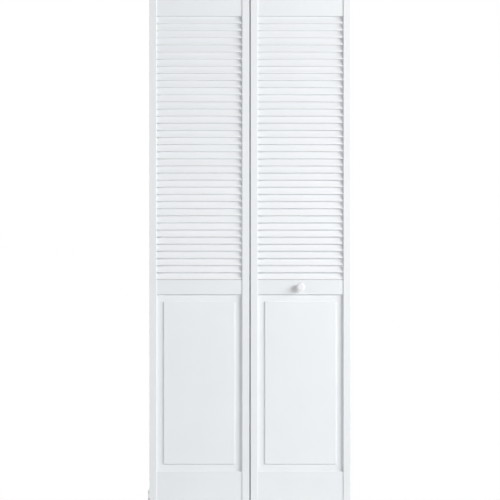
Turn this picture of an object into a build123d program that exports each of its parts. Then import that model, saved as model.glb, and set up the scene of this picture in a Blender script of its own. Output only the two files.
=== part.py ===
"""Bi-fold closet door with fixed louvres over raised panels.

Two leaves are hinged to each other at the back. The left leaf turns on a top and a bottom pivot beside
the jamb, and the right leaf is led along a head track by a guide roller.

Frame: millimetres, +Z up, the front of the door towards -Y. X = 0 is the face of the left jamb,
Y = 0 is the middle of the leaves' thickness, and Z = 0 is the floor.
"""

import math
import os

from build123d import *

# Leaves
leaf_height = 2006.6
leaf_width = 399.1
leaf_gap = 4.8
jamb_gap = 4.9

# Stiles and rails
stile_width = 28.6
stile_thickness = 28.6
stile_edge_round = 1.2
lap_overlap = 3.2
lap_tongue_thickness = 9.0
lap_play = 1.0
rail_thickness = 22.2
rail_edge_round = 1.0
top_rail_height = 70.0
middle_rail_height = 58.0
bottom_rail_height = 119.5
panel_opening_height = 706.8

# Edges of the rails beside the slats: a lip in front, then a slope that follows the slats
rail_lip_depth = 10.0
rail_slope_flat = 3.4

# Stub tenons of the rails
tenon_thickness = 9.0
tenon_shoulder = 4.0
tenon_to_housing = 1.5
joint_clearance = 0.15

# Louvre slats, whose front edges are the lower ones
slat_chord = 35.0
slat_thickness = 6.4
slat_slope = 58.0
slat_nominal_pitch = 28.4
slat_above_middle_rail = 0.8
slat_behind_top_rail = 1.2
slat_mortise_depth = 7.0

# Raised panels
panel_tongue_thickness = 4.8
panel_groove_depth = 8.0
panel_float = 0.6
panel_border = 28.7
panel_step_run = 1.0
panel_step_rise = 4.4
panel_lip = 0.8

# Knob
knob_radius = 17.0
knob_projection = 26.0
knob_rim_height = 19.0
knob_underside_height = 14.0
knob_underside_radius = 11.0
knob_neck_radius = 7.5
knob_base_radius = 10.0
knob_base_height = 2.0

# Hinges
hinge_height = 63.5
hinge_flap_width = 22.0
hinge_flap_thickness = 1.8
hinge_corner_round = 3.0
hinge_knuckle_radius = 3.4
hinge_knuckle_count = 5
hinge_knuckle_play = 0.2
hinge_knuckle_standoff = 0.1
hinge_pin_radius = 1.8
hinge_pin_play = 0.05
hinge_pin_overhang = 1.2
hinge_pin_tip_round = 0.6
hinge_screw_radius = 2.1
hinge_countersink_radius = 3.9
hinge_screw_spacing = 22.0
hinge_end_distance = 180.0

# Pivots and guide
pivot_housing_radius = 6.0
pivot_housing_depth = 32.0
pivot_flange_radius = 9.5
pivot_flange_thickness = 1.6
pivot_pin_radius = 4.0
pivot_pin_play = 0.05
pivot_pin_engagement = 11.0
pivot_tip_chamfer = 1.0
pivot_nut_width = 15.0
pivot_nut_height = 5.0
pivot_tip_clearance = 2.0
guide_roller_radius = 8.0
guide_roller_height = 8.0
guide_roller_round = 1.0
guide_roller_play = 0.1
guide_head_radius = 5.5
guide_head_height = 1.4

# Head track
track_gap = 5.0
track_width = 25.0
track_height = 18.0
track_wall = 1.5
track_lip = 2.0
track_end_clearance = 1.0
track_screw_radius = 2.4
track_outer_screw_distance = 110.0
track_inner_screw_distance = 275.0
track_bracket_length = 44.0
track_bracket_round = 2.6
track_bracket_play = 0.2

# Jamb bracket
bracket_sheet = 2.0
bracket_width = 32.0
bracket_base_length = 92.0
bracket_flange_height = 62.0
bracket_bend_round = 1.0
bracket_bridge_start = 4.5
bracket_bridge_length = 50.0
bracket_bridge_width = 22.0
bracket_bridge_height = 8.0
bracket_bridge_round = 1.5
bracket_notch_radius = 4.3
bracket_notch_pitch = 6.5
bracket_notch_count = 5
bracket_screw_radius = 2.4
bracket_jamb_screw_low = 24.0
bracket_jamb_screw_spacing = 26.0
bracket_floor_screw_spacing = 18.0
bracket_floor_screw_end_distance = 14.0

# Heights and places that follow from the sizes above
leaf_bottom = bracket_bridge_height + pivot_nut_height + pivot_flange_thickness
leaf_top = leaf_bottom + leaf_height
bottom_rail_top = leaf_bottom + bottom_rail_height
middle_rail_bottom = bottom_rail_top + panel_opening_height
middle_rail_top = middle_rail_bottom + middle_rail_height
top_rail_bottom = leaf_top - top_rail_height
track_bottom = leaf_top + track_gap
track_top = track_bottom + track_height

opening_width = leaf_width - 2 * stile_width
left_leaf_start = jamb_gap
right_leaf_start = left_leaf_start + leaf_width + leaf_gap
right_leaf_end = right_leaf_start + leaf_width
door_opening_width = right_leaf_end + jamb_gap

stile_back = stile_thickness / 2
rail_front = -rail_thickness / 2
rail_back = rail_thickness / 2
lap_width = leaf_gap + lap_overlap
pivot_x = left_leaf_start + stile_width / 2
guide_x = right_leaf_end - stile_width / 2
hinge_x = right_leaf_start - lap_width - leaf_gap / 2

# Each rail as (low edge, height)
top_rail = (top_rail_bottom, top_rail_height)
middle_rail = (middle_rail_bottom, middle_rail_height)
bottom_rail = (leaf_bottom, bottom_rail_height)

# The slats are spread evenly from just above the middle rail to just behind the top rail's lip
slat_rise = (slat_chord - slat_thickness) * math.sin(math.radians(slat_slope)) + slat_thickness
lowest_slat = middle_rail_top + slat_above_middle_rail + slat_rise / 2
highest_slat = top_rail_bottom + slat_behind_top_rail - slat_rise / 2
slat_spaces = round((highest_slat - lowest_slat) / slat_nominal_pitch)
slat_pitch = (highest_slat - lowest_slat) / slat_spaces
slat_centres = [(0, lowest_slat + index * slat_pitch) for index in range(slat_spaces + 1)]

rail_slope_start = rail_front + rail_lip_depth
rail_slope_end = rail_back - rail_slope_flat
rail_slope_rise = (rail_slope_end - rail_slope_start) * math.tan(math.radians(slat_slope))

tenon_length = stile_width / 2 - pivot_housing_radius - tenon_to_housing
# How far each side of the lap reaches forward from the stiles' backs
lap_depths = {"lip": lap_tongue_thickness + lap_play, "tongue": lap_tongue_thickness}

panel_groove_width = panel_tongue_thickness + 2 * joint_clearance
pivot_bore_depth = pivot_housing_depth - pivot_flange_thickness


def write_piece(builder, node):
    """Label a finished piece and write it as its own node."""
    builder.part.label = node
    export_step(builder.part, f"parts/{node}.step")


def tenon_height(rail_height):
    """Height of a rail's tenon, clear of the panel groove at either edge."""
    return rail_height - 2 * (panel_groove_depth + tenon_shoulder)


def stile(inner_edge, inward, lap=None, bored_ends=()):
    """A stile, mortised on the edge at X = inner_edge. The opening lies towards inward, +1 or -1 in X.

    lap is "lip" or "tongue" on the two meeting stiles: a lip at the front of one laps over a tongue at
    the back of the other, so that no light shows between the leaves.
    bored_ends lists "top" or "bottom" where a pivot or guide housing is let into the end grain.
    """
    centre = inner_edge - inward * stile_width / 2
    outer_edge = inner_edge - inward * stile_width
    with BuildPart() as board:
        with BuildSketch(Plane.XY.offset(leaf_bottom)) as section:
            with Locations((centre, 0)):
                RectangleRounded(stile_width, stile_thickness, stile_edge_round)
            if lap is not None:
                with Locations((outer_edge, stile_back - lap_depths[lap] / 2)):
                    Rectangle(
                        2 * lap_width,
                        lap_depths[lap],
                        mode=Mode.ADD if lap == "tongue" else Mode.SUBTRACT,
                    )
                back_corners = section.vertices().group_by(Axis.Y)[-1].sort_by(Axis.X)
                fillet(back_corners[0 if inward > 0 else -1], stile_edge_round)
        extrude(amount=leaf_height)

        # Slanted mortises that hold the ends of the slats
        with BuildSketch(Plane.YZ.offset(inner_edge)):
            with Locations(*slat_centres):
                SlotOverall(
                    slat_chord + 2 * joint_clearance,
                    slat_thickness + 2 * joint_clearance,
                    rotation=slat_slope,
                )
        extrude(amount=-inward * slat_mortise_depth, mode=Mode.SUBTRACT)

        # Mortises for the tenons of the three rails
        with BuildSketch(Plane.YZ.offset(inner_edge)):
            for low, height in (top_rail, middle_rail, bottom_rail):
                with Locations((0, low + height / 2)):
                    Rectangle(
                        tenon_thickness + 2 * joint_clearance,
                        tenon_height(height) + 2 * joint_clearance,
                    )
        extrude(amount=-inward * tenon_length, mode=Mode.SUBTRACT)

        # Groove for the panel's tongue, which reaches into the corners behind the rails
        with BuildSketch(Plane.YZ.offset(inner_edge)):
            with Locations((0, bottom_rail_top + panel_opening_height / 2)):
                Rectangle(panel_groove_width, panel_opening_height + 2 * panel_groove_depth)
        extrude(amount=-inward * panel_groove_depth, mode=Mode.SUBTRACT)

        if "top" in bored_ends:
            with Locations((centre, 0, leaf_top)):
                Hole(pivot_housing_radius + joint_clearance, pivot_housing_depth)
        if "bottom" in bored_ends:
            with Locations(Location((centre, 0, leaf_bottom), (180, 0, 0))):
                Hole(pivot_housing_radius + joint_clearance, pivot_housing_depth)
    return board


def rail(opening_start, span, slats_at=None, grooved_edge=None):
    """A rail between two stiles, with a stub tenon at each end and a panel groove along grooved_edge.

    slats_at is "above" or "below" where a row of slats meets the rail. The rail's edge there has a lip in
    front and slopes up behind it beside the nearest slat, so that no light shows between the two.
    """
    low, height = span
    high = low + height
    lower_edge = [(rail_front, low), (rail_back, low)]
    upper_edge = [(rail_back, high), (rail_front, high)]
    if slats_at == "below":
        lower_edge = [
            (rail_front, low),
            (rail_slope_start, low),
            (rail_slope_end, low + rail_slope_rise),
            (rail_back, low + rail_slope_rise),
        ]
    if slats_at == "above":
        upper_edge = [
            (rail_back, high + rail_slope_rise),
            (rail_slope_end, high + rail_slope_rise),
            (rail_slope_start, high),
            (rail_front, high),
        ]
    with BuildPart() as board:
        with BuildSketch(Plane.YZ.offset(opening_start)) as section:
            with BuildLine():
                Polyline(*lower_edge, *upper_edge, close=True)
            make_face()
            fillet(section.vertices(), rail_edge_round)
        extrude(amount=opening_width)
        with BuildSketch(Plane.YZ.offset(opening_start - tenon_length)):
            with Locations((0, low + height / 2)):
                Rectangle(tenon_thickness, tenon_height(height))
        extrude(amount=opening_width + 2 * tenon_length)
        if grooved_edge is not None:
            with BuildSketch(Plane.YZ.offset(opening_start)):
                with Locations((0, grooved_edge)):
                    Rectangle(panel_groove_width, 2 * panel_groove_depth)
            extrude(amount=opening_width, mode=Mode.SUBTRACT)
    return board


def louvre_slats(opening_start):
    """The slats of one leaf: round-nosed strips that end in the stiles' mortises."""
    with BuildPart() as slats:
        with BuildSketch(Plane.YZ.offset(opening_start - slat_mortise_depth)):
            with Locations(*slat_centres):
                SlotOverall(slat_chord, slat_thickness, rotation=slat_slope)
        extrude(amount=opening_width + 2 * slat_mortise_depth)
    return slats


def raised_panel(opening_start):
    """A panel raised on both faces: a thin tongue all round, then a steep step up to an eased, flat field."""
    centre = (opening_start + opening_width / 2, bottom_rail_top + panel_opening_height / 2)
    reach = 2 * (panel_groove_depth - panel_float)
    step_width = opening_width - 2 * panel_border
    step_height = panel_opening_height - 2 * panel_border
    field_width = step_width - 2 * panel_step_run
    field_height = step_height - 2 * panel_step_run
    tongue_face = panel_tongue_thickness / 2
    with BuildPart() as panel:
        with BuildSketch(Plane.XZ):
            with Locations(centre):
                Rectangle(opening_width + reach, panel_opening_height + reach)
        extrude(amount=tongue_face, both=True)
        with BuildSketch(Plane.XZ.offset(tongue_face)):
            with Locations(centre):
                Rectangle(step_width, step_height)
        with BuildSketch(Plane.XZ.offset(tongue_face + panel_step_rise)):
            with Locations(centre):
                Rectangle(field_width, field_height)
        loft()
        with BuildSketch(Plane.XZ.offset(tongue_face + panel_step_rise)):
            with Locations(centre):
                Rectangle(field_width, field_height)
        extrude(amount=panel_lip)
        field = panel.faces().sort_by(Axis.Y)[0]
        chamfer(field.edges(), length=panel_lip / 2)
        mirror(about=Plane.XZ)
    return panel


def knob():
    """A turned knob on the front of the right leaf's middle rail."""
    seat = Plane(
        origin=(
            right_leaf_start + leaf_width / 2,
            rail_front,
            middle_rail_bottom + middle_rail_height / 2,
        ),
        x_dir=(1, 0, 0),
        z_dir=(0, 0, -1),
    )
    neck_height = (knob_base_height + knob_underside_height) / 2
    with BuildPart() as turned:
        with BuildSketch(seat):
            with BuildLine():
                foot = Polyline((0, 0), (knob_base_radius, 0), (knob_base_radius, knob_base_height))
                ThreePointArc(
                    foot @ 1,
                    (knob_neck_radius, neck_height),
                    (knob_underside_radius, knob_underside_height),
                )
                EllipticalCenterArc(
                    (knob_underside_radius, knob_rim_height),
                    knob_radius - knob_underside_radius,
                    knob_rim_height - knob_underside_height,
                    start_angle=270,
                    arc_size=90,
                )
                crown = Spline(
                    (knob_radius, knob_rim_height),
                    (0, knob_projection),
                    tangents=((0, 1), (-1, 0)),
                )
                Line(crown @ 1, foot @ 0)
            make_face()
        revolve(axis=Axis(seat.origin, (0, -1, 0)))
    return turned


hinge_axis_y = stile_back + hinge_knuckle_radius + hinge_knuckle_standoff
hinge_knuckle_length = hinge_height / hinge_knuckle_count
hinge_centres = {
    "upper": leaf_top - hinge_end_distance,
    "middle": leaf_bottom + leaf_height / 2,
    "lower": leaf_bottom + hinge_end_distance,
}


def hinge_flap(centre_height, side):
    """One flap of a butt hinge, flat on a stile's back. side is -1 for the left leaf and +1 for the right."""
    low = centre_height - hinge_height / 2
    back = Plane.XZ.offset(-stile_back)
    own_knuckles = range(0 if side < 0 else 1, hinge_knuckle_count, 2)
    other_knuckles = range(1 if side < 0 else 0, hinge_knuckle_count, 2)
    notch = hinge_knuckle_radius + hinge_knuckle_play
    with BuildPart() as flap:
        with BuildSketch(back) as plate:
            with Locations((hinge_x + side * hinge_flap_width / 2, centre_height)):
                Rectangle(hinge_flap_width, hinge_height)
            outer_corners = plate.vertices().group_by(Axis.X)[0 if side < 0 else -1]
            fillet(outer_corners, hinge_corner_round)
        extrude(amount=-hinge_flap_thickness)

        # Room for the other flap's knuckles, with a little play at each end
        with BuildSketch(back):
            for index in other_knuckles:
                with Locations((hinge_x, low + (index + 0.5) * hinge_knuckle_length)):
                    Rectangle(2 * notch, hinge_knuckle_length + hinge_knuckle_play)
        extrude(amount=-hinge_flap_thickness, mode=Mode.SUBTRACT)

        for index in own_knuckles:
            foot = low + index * hinge_knuckle_length + hinge_knuckle_play / 2
            with BuildSketch(Plane.XY.offset(foot)):
                with Locations((hinge_x, hinge_axis_y)):
                    Circle(hinge_knuckle_radius)
            extrude(amount=hinge_knuckle_length - hinge_knuckle_play)
        with BuildSketch(Plane.XY.offset(low)):
            with Locations((hinge_x, hinge_axis_y)):
                Circle(hinge_pin_radius + hinge_pin_play)
        extrude(amount=hinge_height, mode=Mode.SUBTRACT)

        screw_x = hinge_x + side * (notch + hinge_flap_width) / 2
        exposed = Plane(
            origin=(screw_x, stile_back + hinge_flap_thickness, centre_height),
            x_dir=(1, 0, 0),
            z_dir=(0, 1, 0),
        )
        with Locations(exposed):
            with GridLocations(hinge_screw_spacing, hinge_screw_spacing, 1, 3):
                CounterSinkHole(hinge_screw_radius, hinge_countersink_radius, hinge_flap_thickness)
    return flap


def hinge_pin(centre_height):
    """The pin through a hinge's knuckles, with a rounded tip at each end."""
    with BuildPart() as pin:
        with BuildSketch(Plane.XY.offset(centre_height)):
            with Locations((hinge_x, hinge_axis_y)):
                Circle(hinge_pin_radius)
        extrude(amount=hinge_height / 2 + hinge_pin_overhang, both=True)
        tips = pin.edges().filter_by(GeomType.CIRCLE)
        fillet(tips, hinge_pin_tip_round)
    return pin


def end_housing(centre, end_height, up):
    """A flanged sleeve let into a stile's end. up is +1 at the top of the leaf and -1 at the bottom."""
    with BuildPart() as housing:
        with BuildSketch(Plane.XY.offset(end_height)):
            with Locations((centre, 0)):
                Circle(pivot_housing_radius)
        extrude(amount=-up * pivot_housing_depth)
        with BuildSketch(Plane.XY.offset(end_height)):
            with Locations((centre, 0)):
                Circle(pivot_flange_radius)
        extrude(amount=up * pivot_flange_thickness)
        with BuildSketch(Plane.XY.offset(end_height + up * pivot_flange_thickness)):
            with Locations((centre, 0)):
                Circle(pivot_pin_radius + pivot_pin_play)
        extrude(amount=-up * pivot_housing_depth, mode=Mode.SUBTRACT)
    return housing


def pivot_pin(centre, inner_height, tip_height):
    """A round pin from inside its housing to a chamfered tip."""
    with BuildPart() as pin:
        with BuildSketch(Plane.XY.offset(inner_height)):
            with Locations((centre, 0)):
                Circle(pivot_pin_radius)
        extrude(amount=tip_height - inner_height)
        tip = pin.faces().sort_by(Axis.Z)[-1 if tip_height > inner_height else 0]
        chamfer(tip.edges(), length=pivot_tip_chamfer)
    return pin


def pivot_nut():
    """The hexagon nut that carries the left leaf on the jamb bracket and sets its height."""
    with BuildPart() as nut:
        with BuildSketch(Plane.XY.offset(bracket_bridge_height)):
            with Locations((pivot_x, 0)):
                RegularPolygon(pivot_nut_width / 2, 6, major_radius=False)
                Circle(pivot_pin_radius + pivot_pin_play, mode=Mode.SUBTRACT)
        extrude(amount=pivot_nut_height)
    return nut


def guide_pin(roller_low):
    """The guide's pin, with a flat head that keeps the roller on it."""
    head_low = roller_low + guide_roller_height + guide_roller_play
    inner_height = leaf_top - pivot_bore_depth
    with BuildPart() as pin:
        with BuildSketch(Plane.XY.offset(inner_height)):
            with Locations((guide_x, 0)):
                Circle(pivot_pin_radius)
        extrude(amount=head_low - inner_height)
        with BuildSketch(Plane.XY.offset(head_low)):
            with Locations((guide_x, 0)):
                Circle(guide_head_radius)
        extrude(amount=guide_head_height)
    return pin


def guide_roller(roller_low):
    """The wheel that runs in the head track."""
    with BuildPart() as roller:
        with BuildSketch(Plane.XY.offset(roller_low)):
            with Locations((guide_x, 0)):
                Circle(guide_roller_radius)
        extrude(amount=guide_roller_height)
        fillet(roller.edges().filter_by(GeomType.CIRCLE), guide_roller_round)
        with BuildSketch(Plane.XY.offset(roller_low)):
            with Locations((guide_x, 0)):
                Circle(pivot_pin_radius + pivot_pin_play)
        extrude(amount=guide_roller_height, mode=Mode.SUBTRACT)
    return roller


def head_track():
    """A channel, open downwards, with its edges turned in and screw holes in its web."""
    start = track_end_clearance
    length = door_opening_width - 2 * track_end_clearance
    inner_width = track_width - 2 * track_wall
    with BuildPart() as track:
        with BuildSketch(Plane.YZ.offset(start)):
            with Locations((0, track_bottom + track_height / 2)):
                Rectangle(track_width, track_height)
                Rectangle(inner_width, track_height - 2 * track_wall, mode=Mode.SUBTRACT)
            with Locations((0, track_bottom)):
                Rectangle(
                    inner_width - 2 * track_lip,
                    track_height - track_wall,
                    align=(Align.CENTER, Align.MIN),
                    mode=Mode.SUBTRACT,
                )
        extrude(amount=length)
        for end_distance in (track_outer_screw_distance, track_inner_screw_distance):
            for x in (start + end_distance, start + length - end_distance):
                with Locations((x, 0, track_top)):
                    Hole(track_screw_radius, track_wall)
    return track


def track_bracket():
    """The block in the track's end that holds the top pivot."""
    height = track_height - 2 * track_wall - track_bracket_play
    width = track_width - 2 * track_wall - 2 * track_bracket_play
    low = track_bottom + track_wall
    with BuildPart() as block:
        with BuildSketch(Plane.XY.offset(low)):
            with Locations((track_end_clearance + track_bracket_length / 2, 0)):
                RectangleRounded(track_bracket_length, width, track_bracket_round)
        extrude(amount=height)
        with BuildSketch(Plane.XY.offset(low)):
            with Locations((pivot_x, 0)):
                Circle(pivot_pin_radius + pivot_pin_play)
        extrude(amount=height, mode=Mode.SUBTRACT)
    return block


def jamb_bracket():
    """A pressed-steel angle: base on the floor, flange on the jamb, and a notched bridge for the pivot."""
    bridge_centre = (bracket_bridge_start + bracket_bridge_length / 2, 0)
    notches_start = pivot_x - bracket_notch_pitch
    with BuildPart() as bracket:
        with BuildSketch(Plane.XZ) as angle:
            with Locations((0, 0)):
                Rectangle(bracket_base_length, bracket_sheet, align=(Align.MIN, Align.MIN))
                Rectangle(bracket_sheet, bracket_flange_height, align=(Align.MIN, Align.MIN))
            inner_bend = angle.vertices().sort_by_distance((bracket_sheet, 0, bracket_sheet))[0]
            fillet(inner_bend, bracket_bend_round)
        extrude(amount=bracket_width / 2, both=True)

        with BuildSketch(Plane.XY):
            with Locations(bridge_centre):
                Rectangle(bracket_bridge_length, bracket_bridge_width)
        extrude(amount=bracket_bridge_height)
        bridge_top = bracket.faces().filter_by(Axis.Z).group_by(Axis.Z)[-2]
        fillet(bridge_top.edges(), bracket_bridge_round)
        with BuildSketch(Plane.XY):
            with Locations(bridge_centre):
                Rectangle(
                    bracket_bridge_length - 2 * bracket_sheet,
                    bracket_bridge_width - 2 * bracket_sheet,
                )
        extrude(amount=bracket_bridge_height - bracket_sheet, mode=Mode.SUBTRACT)

        # Overlapping notches in which the pivot's tip can stand nearer to or further from the jamb
        with BuildSketch(Plane.XY.offset(bracket_bridge_height)):
            with Locations(
                *[(notches_start + index * bracket_notch_pitch, 0) for index in range(bracket_notch_count)]
            ):
                Circle(bracket_notch_radius)
        extrude(amount=-bracket_sheet, mode=Mode.SUBTRACT)

        jamb_screws_centre = bracket_jamb_screw_low + bracket_jamb_screw_spacing / 2
        with Locations(Plane((bracket_sheet, 0, jamb_screws_centre), x_dir=(0, 1, 0), z_dir=(1, 0, 0))):
            with GridLocations(bracket_jamb_screw_spacing, bracket_jamb_screw_spacing, 1, 2):
                Hole(bracket_screw_radius, bracket_sheet)
        floor_screw_x = bracket_base_length - bracket_floor_screw_end_distance
        with Locations((floor_screw_x, 0, bracket_sheet)):
            with GridLocations(bracket_floor_screw_spacing, bracket_floor_screw_spacing, 1, 2):
                Hole(bracket_screw_radius, bracket_sheet)
    return bracket


os.makedirs("parts", exist_ok=True)

left_opening = left_leaf_start + stile_width
right_opening = right_leaf_start + stile_width

write_piece(stile(left_opening, +1, bored_ends=("top", "bottom")), "left_pivot_stile")
write_piece(stile(left_opening + opening_width, -1, lap="lip"), "left_hinge_stile")
write_piece(stile(right_opening, +1, lap="tongue"), "right_hinge_stile")
write_piece(stile(right_opening + opening_width, -1, bored_ends=("top",)), "right_lead_stile")

for leaf, opening in (("left", left_opening), ("right", right_opening)):
    write_piece(rail(opening, top_rail, slats_at="below"), f"{leaf}_top_rail")
    write_piece(
        rail(opening, middle_rail, slats_at="above", grooved_edge=middle_rail_bottom),
        f"{leaf}_middle_rail",
    )
    write_piece(rail(opening, bottom_rail, grooved_edge=bottom_rail_top), f"{leaf}_bottom_rail")
    write_piece(louvre_slats(opening), f"{leaf}_louvre_slats")
    write_piece(raised_panel(opening), f"{leaf}_raised_panel")

write_piece(knob(), "knob")

for place, height in hinge_centres.items():
    write_piece(hinge_flap(height, -1), f"{place}_hinge_left_flap")
    write_piece(hinge_flap(height, +1), f"{place}_hinge_right_flap")
    write_piece(hinge_pin(height), f"{place}_hinge_pin")

write_piece(end_housing(pivot_x, leaf_top, +1), "top_pivot_housing")
write_piece(
    pivot_pin(pivot_x, leaf_top - pivot_bore_depth, track_bottom + pivot_pin_engagement),
    "top_pivot_pin",
)
write_piece(end_housing(guide_x, leaf_top, +1), "guide_housing")
roller_bottom = track_bottom + track_wall
write_piece(guide_pin(roller_bottom), "guide_pin")
write_piece(guide_roller(roller_bottom), "guide_roller")
write_piece(end_housing(pivot_x, leaf_bottom, -1), "bottom_pivot_housing")
write_piece(
    pivot_pin(pivot_x, leaf_bottom + pivot_bore_depth, pivot_tip_clearance),
    "bottom_pivot_pin",
)
write_piece(pivot_nut(), "bottom_pivot_nut")
write_piece(head_track(), "head_track")
write_piece(track_bracket(), "top_pivot_bracket")
write_piece(jamb_bracket(), "jamb_bracket")
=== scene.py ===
import math
import random

import bmesh
import bpy
from mathutils import Matrix, Vector


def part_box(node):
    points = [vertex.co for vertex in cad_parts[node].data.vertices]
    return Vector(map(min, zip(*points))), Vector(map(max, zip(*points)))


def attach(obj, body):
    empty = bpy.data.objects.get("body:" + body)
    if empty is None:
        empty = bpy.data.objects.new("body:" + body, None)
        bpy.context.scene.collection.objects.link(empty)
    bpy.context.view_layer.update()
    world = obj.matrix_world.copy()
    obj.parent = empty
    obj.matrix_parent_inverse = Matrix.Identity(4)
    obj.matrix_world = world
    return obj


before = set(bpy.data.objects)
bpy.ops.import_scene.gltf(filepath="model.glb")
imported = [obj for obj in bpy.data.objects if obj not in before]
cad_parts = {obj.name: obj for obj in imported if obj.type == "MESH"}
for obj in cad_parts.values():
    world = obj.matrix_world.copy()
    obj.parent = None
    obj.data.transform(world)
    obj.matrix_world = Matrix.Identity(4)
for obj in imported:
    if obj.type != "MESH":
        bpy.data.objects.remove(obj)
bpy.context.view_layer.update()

# Stiles: four upright pine boards, planed, mortised for the slats and rails and sprayed white.
# The two in the middle lap over each other where the leaves meet.
mm = 0.001
smooth_below = math.radians(30)
stiles = ("left_pivot_stile", "left_hinge_stile", "right_hinge_stile", "right_lead_stile")


def linear(hex_colour):
    """An sRGB hex colour as linear red, green, blue and alpha."""
    channels = [int(hex_colour[place:place + 2], 16) / 255 for place in (1, 3, 5)]
    bent = [c / 12.92 if c <= 0.04045 else ((c + 0.055) / 1.055) ** 2.4 for c in channels]
    return (*bent, 1.0)


def add_node(material, kind, settings=None, inputs=None):
    """A shader node with its settings, and inputs that are plain values or other nodes' outputs."""
    node = material.node_tree.nodes.new(kind)
    for name, value in (settings or {}).items():
        setattr(node, name, value)
    for name, value in (inputs or {}).items():
        if isinstance(value, bpy.types.NodeSocket):
            material.node_tree.links.new(value, node.inputs[name])
        else:
            node.inputs[name].default_value = value
    return node


def new_material(name):
    """An empty material and its principled shader."""
    material = bpy.data.materials.new(name)
    material.use_nodes = True
    return material, material.node_tree.nodes["Principled BSDF"]


def dress(node_names, material):
    """Give CAD nodes a material and smooth shading between sharp edges."""
    for name in node_names:
        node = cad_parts[name]
        node.data.materials.clear()
        node.data.materials.append(material)
        node.data.set_sharp_from_angle(angle=smooth_below)


def painted_pine(name, grain_size, shades, board_tone=0.0):
    """White satin alkyd paint sprayed on planed pine. The paint is smooth and slightly cool, and close to
    it the grain still shows as faint ridges under a fine spray stipple. Its colour drifts between two
    shades, and board_tone is how much one board differs in shade from the next."""
    stipple_size = 1.6 * mm
    stipple_share = 0.35
    ridge_height = 0.12 * mm
    ridge_strength = 0.25
    mottle_size = 140 * mm
    least_rough, most_rough = 0.38, 0.46
    material, paint = new_material(name)
    place = add_node(material, "ShaderNodeTexCoord").outputs["Object"]
    along_grain = add_node(material, "ShaderNodeMapping", inputs={
        "Vector": place, "Scale": [1 / size for size in grain_size]}).outputs["Vector"]
    grain = add_node(material, "ShaderNodeTexNoise", inputs={
        "Vector": along_grain, "Scale": 1.0, "Detail": 3.0, "Distortion": 0.4}).outputs["Fac"]
    stipple = add_node(material, "ShaderNodeTexNoise", inputs={
        "Vector": place, "Scale": 1 / stipple_size, "Detail": 1.0}).outputs["Fac"]
    mottle = add_node(material, "ShaderNodeTexNoise", inputs={
        "Vector": place, "Scale": 1 / mottle_size, "Detail": 2.0}).outputs["Fac"]
    if board_tone:
        board = add_node(material, "ShaderNodeNewGeometry").outputs["Random Per Island"]
        mottle = add_node(material, "ShaderNodeMix", {"data_type": "FLOAT"}, {
            "Factor": board_tone, "A": mottle, "B": board}).outputs["Result"]
    tone = add_node(material, "ShaderNodeMix", {"data_type": "RGBA"}, {
        "Factor": mottle, "A": linear(shades[0]), "B": linear(shades[1])}).outputs["Result"]
    relief = add_node(material, "ShaderNodeMath", {"operation": "MULTIPLY_ADD"}, {
        0: stipple, 1: stipple_share, 2: grain}).outputs["Value"]
    bump = add_node(material, "ShaderNodeBump", inputs={
        "Height": relief, "Strength": ridge_strength, "Distance": ridge_height}).outputs["Normal"]
    sheen = add_node(material, "ShaderNodeMapRange", inputs={
        "Value": mottle, "To Min": least_rough, "To Max": most_rough}).outputs["Result"]
    paint.inputs["IOR"].default_value = 1.5
    links = material.node_tree.links
    links.new(tone, paint.inputs["Base Color"])
    links.new(sheen, paint.inputs["Roughness"])
    links.new(bump, paint.inputs["Normal"])
    return material


frame_shades = ("#EBEEF0", "#EFF2F4")
upright_grain = (3 * mm, 3 * mm, 160 * mm)
upright_paint = painted_pine("white_satin_paint_on_upright_pine", upright_grain, frame_shades)
dress(stiles, upright_paint)

# Rails: level pine boards that tie the stiles together, a little thinner than the stiles.
# Stub tenons hold their ends, and the grain runs from side to side.
rails = [f"{leaf}_{place}_rail" for leaf in ("left", "right") for place in ("top", "middle", "bottom")]
level_grain = (160 * mm, 3 * mm, 3 * mm)
level_paint = painted_pine("white_satin_paint_on_level_pine", level_grain, frame_shades)
dress(rails, level_paint)

# Louvre slats: thin pine strips with rounded edges, slid into slanted mortises and sprayed in place.
# Each strip was cut from another board, so no two are quite the same shade.
slats = ("left_louvre_slats", "right_louvre_slats")
# The slats' two shades are lighter than the frame's. This is painted light: it stands for the extra light
# that their upturned faces catch from above.
lit_slat_shades = ("#F1F3F5", "#F6F8FA")
slat_grain = (120 * mm, 2.2 * mm, 2.2 * mm)
slat_paint = painted_pine("white_satin_paint_on_pine_strips", slat_grain, lit_slat_shades, board_tone=0.6)
dress(slats, slat_paint)

# Raised panels: pine boards glued edge to edge, with a step cut round both faces.
# They float in grooves in the stiles and rails.
panels = ("left_raised_panel", "right_raised_panel")
panel_shades = ("#EDF0F2", "#F1F4F6")
panel_grain = (4 * mm, 3 * mm, 200 * mm)
panel_paint = painted_pine("white_satin_paint_on_wide_boards", panel_grain, panel_shades)
dress(panels, panel_paint)

# Knob: a turned beech knob in white gloss paint, drawn against the rail by a screw from behind.
# The gloss gives it a small bright highlight.
knob_paint, gloss = new_material("white_gloss_paint_on_turned_beech")
gloss.inputs["Base Color"].default_value = linear("#F1F2F4")
gloss.inputs["Roughness"].default_value = 0.22
gloss.inputs["IOR"].default_value = 1.5
dress(["knob"], knob_paint)

screw_turn_seed = 32
random.seed(screw_turn_seed)


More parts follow.
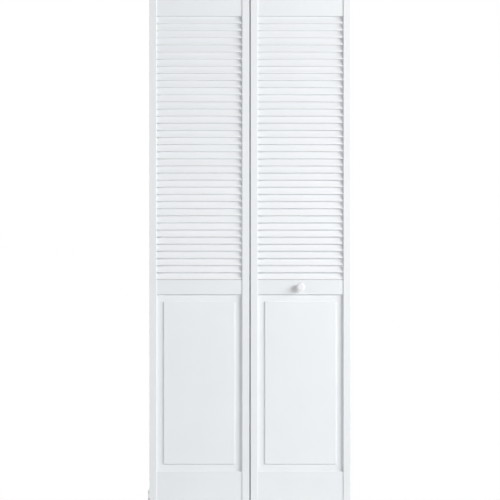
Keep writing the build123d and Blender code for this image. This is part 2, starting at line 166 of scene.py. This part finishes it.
def zinc_plate(name, dull, bright, roughness):
    """Zinc plate on pressed or turned steel: a cool grey metal with cloudy patches from the bath, the dull
    ones a little rougher than the bright ones."""
    patch_size = 9 * mm
    dull_rougher = 0.08
    bright_smoother = 0.06
    material, plate = new_material(name)
    place = add_node(material, "ShaderNodeTexCoord").outputs["Object"]
    patches = add_node(material, "ShaderNodeTexNoise", inputs={
        "Vector": place, "Scale": 1 / patch_size, "Detail": 4.0, "Roughness": 0.6}).outputs["Fac"]
    colour = add_node(material, "ShaderNodeMix", {"data_type": "RGBA"}, {
        "Factor": patches, "A": linear(dull), "B": linear(bright)}).outputs["Result"]
    haze = add_node(material, "ShaderNodeMapRange", inputs={
        "Value": patches, "To Min": roughness + dull_rougher,
        "To Max": roughness - bright_smoother}).outputs["Result"]
    plate.inputs["Metallic"].default_value = 1.0
    material.node_tree.links.new(colour, plate.inputs["Base Color"])
    material.node_tree.links.new(haze, plate.inputs["Roughness"])
    return material


screw_plate = zinc_plate("bright_zinc_on_screws", "#B9BCBE", "#D3D5D6", 0.3)


def turned(rings, sides=32):
    """A closed round mesh from (radius, height) rings, listed from the lowest to the highest."""
    shape = bmesh.new()
    loops = []
    for radius, height in rings:
        turns = [2 * math.pi * side / sides for side in range(sides)]
        loops.append([shape.verts.new((radius * math.cos(a), radius * math.sin(a), height)) for a in turns])
    for low, high in zip(loops, loops[1:]):
        for side in range(sides):
            after = (side + 1) % sides
            shape.faces.new((low[side], low[after], high[after], high[side]))
    shape.faces.new(list(reversed(loops[0])))
    shape.faces.new(loops[-1])
    return shape


def screw_mesh(name, rings, recess_span, recess_width, recess_depth):
    """A screw whose head has a cross-shaped recess. Its axis is Z, and the head's top is the last ring."""
    top = rings[-1][1]
    body = bpy.data.meshes.new(name)
    shape = turned(rings)
    shape.to_mesh(body)
    shape.free()
    cross = bmesh.new()
    for width, depth in ((recess_span, recess_width), (recess_width, recess_span)):
        bmesh.ops.create_cube(cross, size=1.0, matrix=Matrix.LocRotScale(
            Vector((0, 0, top)), None, Vector((width, depth, 2 * recess_depth))))
    cutter_mesh = bpy.data.meshes.new(name + "_recess")
    cross.to_mesh(cutter_mesh)
    cross.free()
    blank = bpy.data.objects.new(name + "_blank", body)
    cutter = bpy.data.objects.new(name + "_cutter", cutter_mesh)
    for helper in (blank, cutter):
        bpy.context.scene.collection.objects.link(helper)
    cut = blank.modifiers.new("recess", "BOOLEAN")
    cut.operation = "DIFFERENCE"
    cut.solver = "EXACT"
    cut.use_self = True
    cut.object = cutter
    result = bpy.data.meshes.new_from_object(blank.evaluated_get(bpy.context.evaluated_depsgraph_get()))
    for helper in (blank, cutter):
        bpy.data.objects.remove(helper)
    return result


def drive_screws(name, mesh, places, direction):
    """Screws at places, heads towards direction, each stopped at its own turn, as one piece of the door."""
    stand = Vector(direction).to_track_quat("Z", "Y").to_matrix().to_4x4()
    group = bmesh.new()
    for place in places:
        turn = Matrix.Rotation(random.uniform(0, math.pi), 4, "Z")
        one = mesh.copy()
        one.transform(Matrix.Translation(place) @ stand @ turn)
        group.from_mesh(one)
        bpy.data.meshes.remove(one)
    joined = bpy.data.meshes.new(name)
    group.to_mesh(joined)
    group.free()
    joined.materials.append(screw_plate)
    joined.set_sharp_from_angle(angle=smooth_below)
    screws = bpy.data.objects.new(name, joined)
    bpy.context.scene.collection.objects.link(screws)
    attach(screws, "root")


# The pan head's shank is a stub that ends inside the thinnest sheet that it goes through.
pan_head = screw_mesh(
    "pan_head_screw",
    [
        (2.0 * mm, -1.3 * mm),
        (2.0 * mm, 0),
        (4.0 * mm, 0),
        (4.0 * mm, 0.9 * mm),
        (3.6 * mm, 1.6 * mm),
        (2.6 * mm, 2.1 * mm),
    ],
    recess_span=4.0 * mm,
    recess_width=0.9 * mm,
    recess_depth=1.1 * mm,
)
backward = (0, 1, 0)
knob_low, knob_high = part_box("knob")
knob_axis = (knob_low + knob_high) / 2
rail_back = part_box("right_middle_rail")[1].y
behind_knob = Vector((knob_axis.x, rail_back, knob_axis.z))
drive_screws("knob_screw", pan_head, [behind_knob], backward)

# Hinges: three butt hinges of pressed steel on the back of the meeting stiles, zinc plated.
# Countersunk screws hold each flap, flush with its face.
hinge_plate = zinc_plate("bright_zinc_on_pressed_steel", "#B4B7B9", "#CFD1D2", 0.34)
hinge_places = ("upper", "middle", "lower")
flaps = [f"{place}_hinge_{side}_flap" for place in hinge_places for side in ("left", "right")]
hinge_pins = [f"{place}_hinge_pin" for place in hinge_places]
dress(flaps + hinge_pins, hinge_plate)

screw_from_pin = 12.8 * mm
screw_spacing = 22 * mm
flap_thickness = 1.8 * mm
flap_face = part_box("left_hinge_stile")[1].y + flap_thickness
countersunk = screw_mesh(
    "countersunk_screw",
    [
        (1.2 * mm, -9 * mm),
        (1.9 * mm, -6 * mm),
        (2.0 * mm, -1.8 * mm),
        (3.75 * mm, -0.12 * mm),
        (3.75 * mm, 0),
    ],
    recess_span=3.9 * mm,
    recess_width=0.9 * mm,
    recess_depth=1.2 * mm,
)
for place in hinge_places:
    pin_low, pin_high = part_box(f"{place}_hinge_pin")
    pin_centre = (pin_low + pin_high) / 2
    holes = [
        Vector((pin_centre.x + side * screw_from_pin, flap_face, pin_centre.z + step * screw_spacing))
        for side in (-1, 1)
        for step in (-1, 0, 1)
    ]
    drive_screws(f"{place}_hinge_screws", countersunk, holes, backward)

# Pivots and guide: moulded nylon sleeves in the ends of the stiles carry plain steel pins. The guide's
# pin also carries a nylon wheel, and a hexagon nut sets the height of the left leaf.
# The bare nylon is a warm off-white, and light sinks a little way into it.
nylon, moulded = new_material("natural_moulded_nylon")
moulded.inputs["Base Color"].default_value = linear("#ECEAE1")
moulded.inputs["Roughness"].default_value = 0.42
moulded.inputs["IOR"].default_value = 1.53
moulded.inputs["Subsurface Weight"].default_value = 0.15
moulded.inputs["Subsurface Scale"].default_value = 2 * mm
dress(("top_pivot_housing", "guide_housing", "bottom_pivot_housing", "guide_roller"), nylon)
pin_plate = zinc_plate("bright_zinc_on_turned_steel", "#BDC0C2", "#D6D8D9", 0.26)
dress(("top_pivot_pin", "guide_pin", "bottom_pivot_pin", "bottom_pivot_nut"), pin_plate)

# Head track: a roll-formed steel channel screwed up into the head of the opening, with a pressed
# block in its end for the top pivot. The screws' heads are inside the channel.
track_plate = zinc_plate("zinc_on_rolled_steel_strip", "#AFB2B4", "#C6C9CA", 0.4)
dress(["head_track"], track_plate)
dress(["top_pivot_bracket"], track_plate)
downward = (0, 0, -1)
track_low, track_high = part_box("head_track")
track_wall = 1.5 * mm
track_screws_in = (110 * mm, 275 * mm)
track_ceiling = track_high.z - track_wall
track_places = [
    Vector((x, 0, track_ceiling))
    for distance in track_screws_in
    for x in (track_low.x + distance, track_high.x - distance)
]
drive_screws("track_screws", pan_head, track_places, downward)

# Jamb bracket: an angle pressed from steel sheet, screwed to the jamb and the floor.
# Its notched bridge takes the tip of the bottom pivot.
bracket_plate = zinc_plate("zinc_on_pressed_bracket", "#C4C7C9", "#DADCDD", 0.36)
dress(["jamb_bracket"], bracket_plate)
sheet = 2 * mm
rightward = (1, 0, 0)
jamb_screw_heights = (24 * mm, 50 * mm)
jamb_places = [Vector((sheet, 0, height)) for height in jamb_screw_heights]
drive_screws("jamb_screws", pan_head, jamb_places, rightward)
upward = (0, 0, 1)
floor_screws_out = 78 * mm
floor_screws_aside = 9 * mm
floor_places = [Vector((floor_screws_out, side * floor_screws_aside, sheet)) for side in (-1, 1)]
drive_screws("floor_screws", pan_head, floor_places, upward)

# Floor: a pale sheet under the door. To the eye and in reflections it glows almost white, and what light
# falls on it adds the rest, so that the door keeps a faint shadow.
leaf_low, leaf_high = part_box("left_pivot_stile")
lead_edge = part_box("right_lead_stile")[1].x
door_centre = Vector(((leaf_low.x + lead_edge) / 2, 0, (leaf_low.z + leaf_high.z) / 2))
floor_half_width = 4.0
floor_front = 4.0
floor_back = 0.24
floor_mesh = bpy.data.meshes.new("floor")
floor_mesh.from_pydata(
    [
        (door_centre.x - floor_half_width, -floor_front, 0),
        (door_centre.x + floor_half_width, -floor_front, 0),
        (door_centre.x + floor_half_width, floor_back, 0),
        (door_centre.x - floor_half_width, floor_back, 0),
    ],
    [],
    [(0, 1, 2, 3)],
)
floor = bpy.data.objects.new("floor", floor_mesh)
bpy.context.scene.collection.objects.link(floor)


def seen_share(material):
    """1 on rays that reach the eye, straight or by way of a mirror or glass, and 0 on other light."""
    ray = add_node(material, "ShaderNodeLightPath").outputs
    straight_or_mirrored = add_node(material, "ShaderNodeMath", {"operation": "MAXIMUM"}, {
        0: ray["Is Camera Ray"], 1: ray["Is Glossy Ray"]}).outputs["Value"]
    return add_node(material, "ShaderNodeMath", {"operation": "MAXIMUM"}, {
        0: straight_or_mirrored, 1: ray["Is Transmission Ray"]}).outputs["Value"]


white_strength = 1.0
floor_glow = 0.88
pale_sheet, sheet_shader = new_material("pale_floor_sheet")
sheet_shader.inputs["Base Color"].default_value = linear("#E6E6E6")
sheet_shader.inputs["Roughness"].default_value = 0.9
glow = add_node(pale_sheet, "ShaderNodeEmission", inputs={
    "Color": linear("#FFFFFF"), "Strength": white_strength})
glow_share = add_node(pale_sheet, "ShaderNodeMath", {"operation": "MULTIPLY"}, {
    0: seen_share(pale_sheet), 1: floor_glow}).outputs["Value"]
shown = add_node(pale_sheet, "ShaderNodeMixShader", inputs={"Fac": glow_share})
sheet_links = pale_sheet.node_tree.links
sheet_links.new(sheet_shader.outputs["BSDF"], shown.inputs[1])
sheet_links.new(glow.outputs["Emission"], shown.inputs[2])
sheet_links.new(shown.outputs["Shader"], pale_sheet.node_tree.nodes["Material Output"].inputs["Surface"])
floor_mesh.materials.append(pale_sheet)

# Light: a white room that is dimmer to surfaces than to the eye, a long softbox at the front right, level
# with the top of the door, a weak one at the front left that opens the shadows, and a low one behind.
room = bpy.data.worlds.new("white_room")
bpy.context.scene.world = room
room.use_nodes = True
ambient_strength = 0.23
room_level = add_node(room, "ShaderNodeMapRange", inputs={
    "Value": seen_share(room), "To Min": ambient_strength, "To Max": white_strength}).outputs["Result"]
room_glow = room.node_tree.nodes["Background"]
room_glow.inputs["Color"].default_value = linear("#FFFFFF")
room.node_tree.links.new(room_level, room_glow.inputs["Strength"])


def softbox(name, right, back, up, width, height, watts):
    """A flat lamp, placed in metres from the door's centre and turned to it."""
    lamp = bpy.data.lights.new(name, "AREA")
    lamp.shape = "RECTANGLE"
    lamp.size = width
    lamp.size_y = height
    lamp.energy = watts
    stand = bpy.data.objects.new(name, lamp)
    stand.location = door_centre + Vector((right, back, up))
    stand.rotation_mode = "QUATERNION"
    stand.rotation_quaternion = (door_centre - stand.location).to_track_quat("-Z", "Y")
    stand.visible_camera = False
    bpy.context.scene.collection.objects.link(stand)


softbox("front_softbox", right=4.3, back=-2.95, up=1.32, width=3.6, height=1.2, watts=269)
softbox("fill_softbox", right=-4.2, back=-3.5, up=0.5, width=3.0, height=2.0, watts=46)
softbox("back_softbox", right=-4.0, back=4.0, up=-0.8, width=3.0, height=1.0, watts=205)

# Camera: square on to the door, level with its middle, far enough back that the slats' gaps stay closed.
# The leaves fill the picture's height, whose edges cut a few millimetres off their ends.
sensor_width = 36.0
camera_distance = 12.0
cut_off_end = 6 * mm
shown_height = leaf_high.z - leaf_low.z - 2 * cut_off_end
lens_data = bpy.data.cameras.new("camera")
lens_data.sensor_width = sensor_width
lens_data.lens = sensor_width * camera_distance / shown_height
lens_data.clip_end = 100
camera = bpy.data.objects.new("camera", lens_data)
camera.location = (door_centre.x, leaf_low.y - camera_distance, door_centre.z)
camera.rotation_euler = (math.radians(90), 0, 0)
bpy.context.scene.collection.objects.link(camera)
bpy.context.scene.camera = camera
bpy.context.scene.view_settings.view_transform = "Standard"
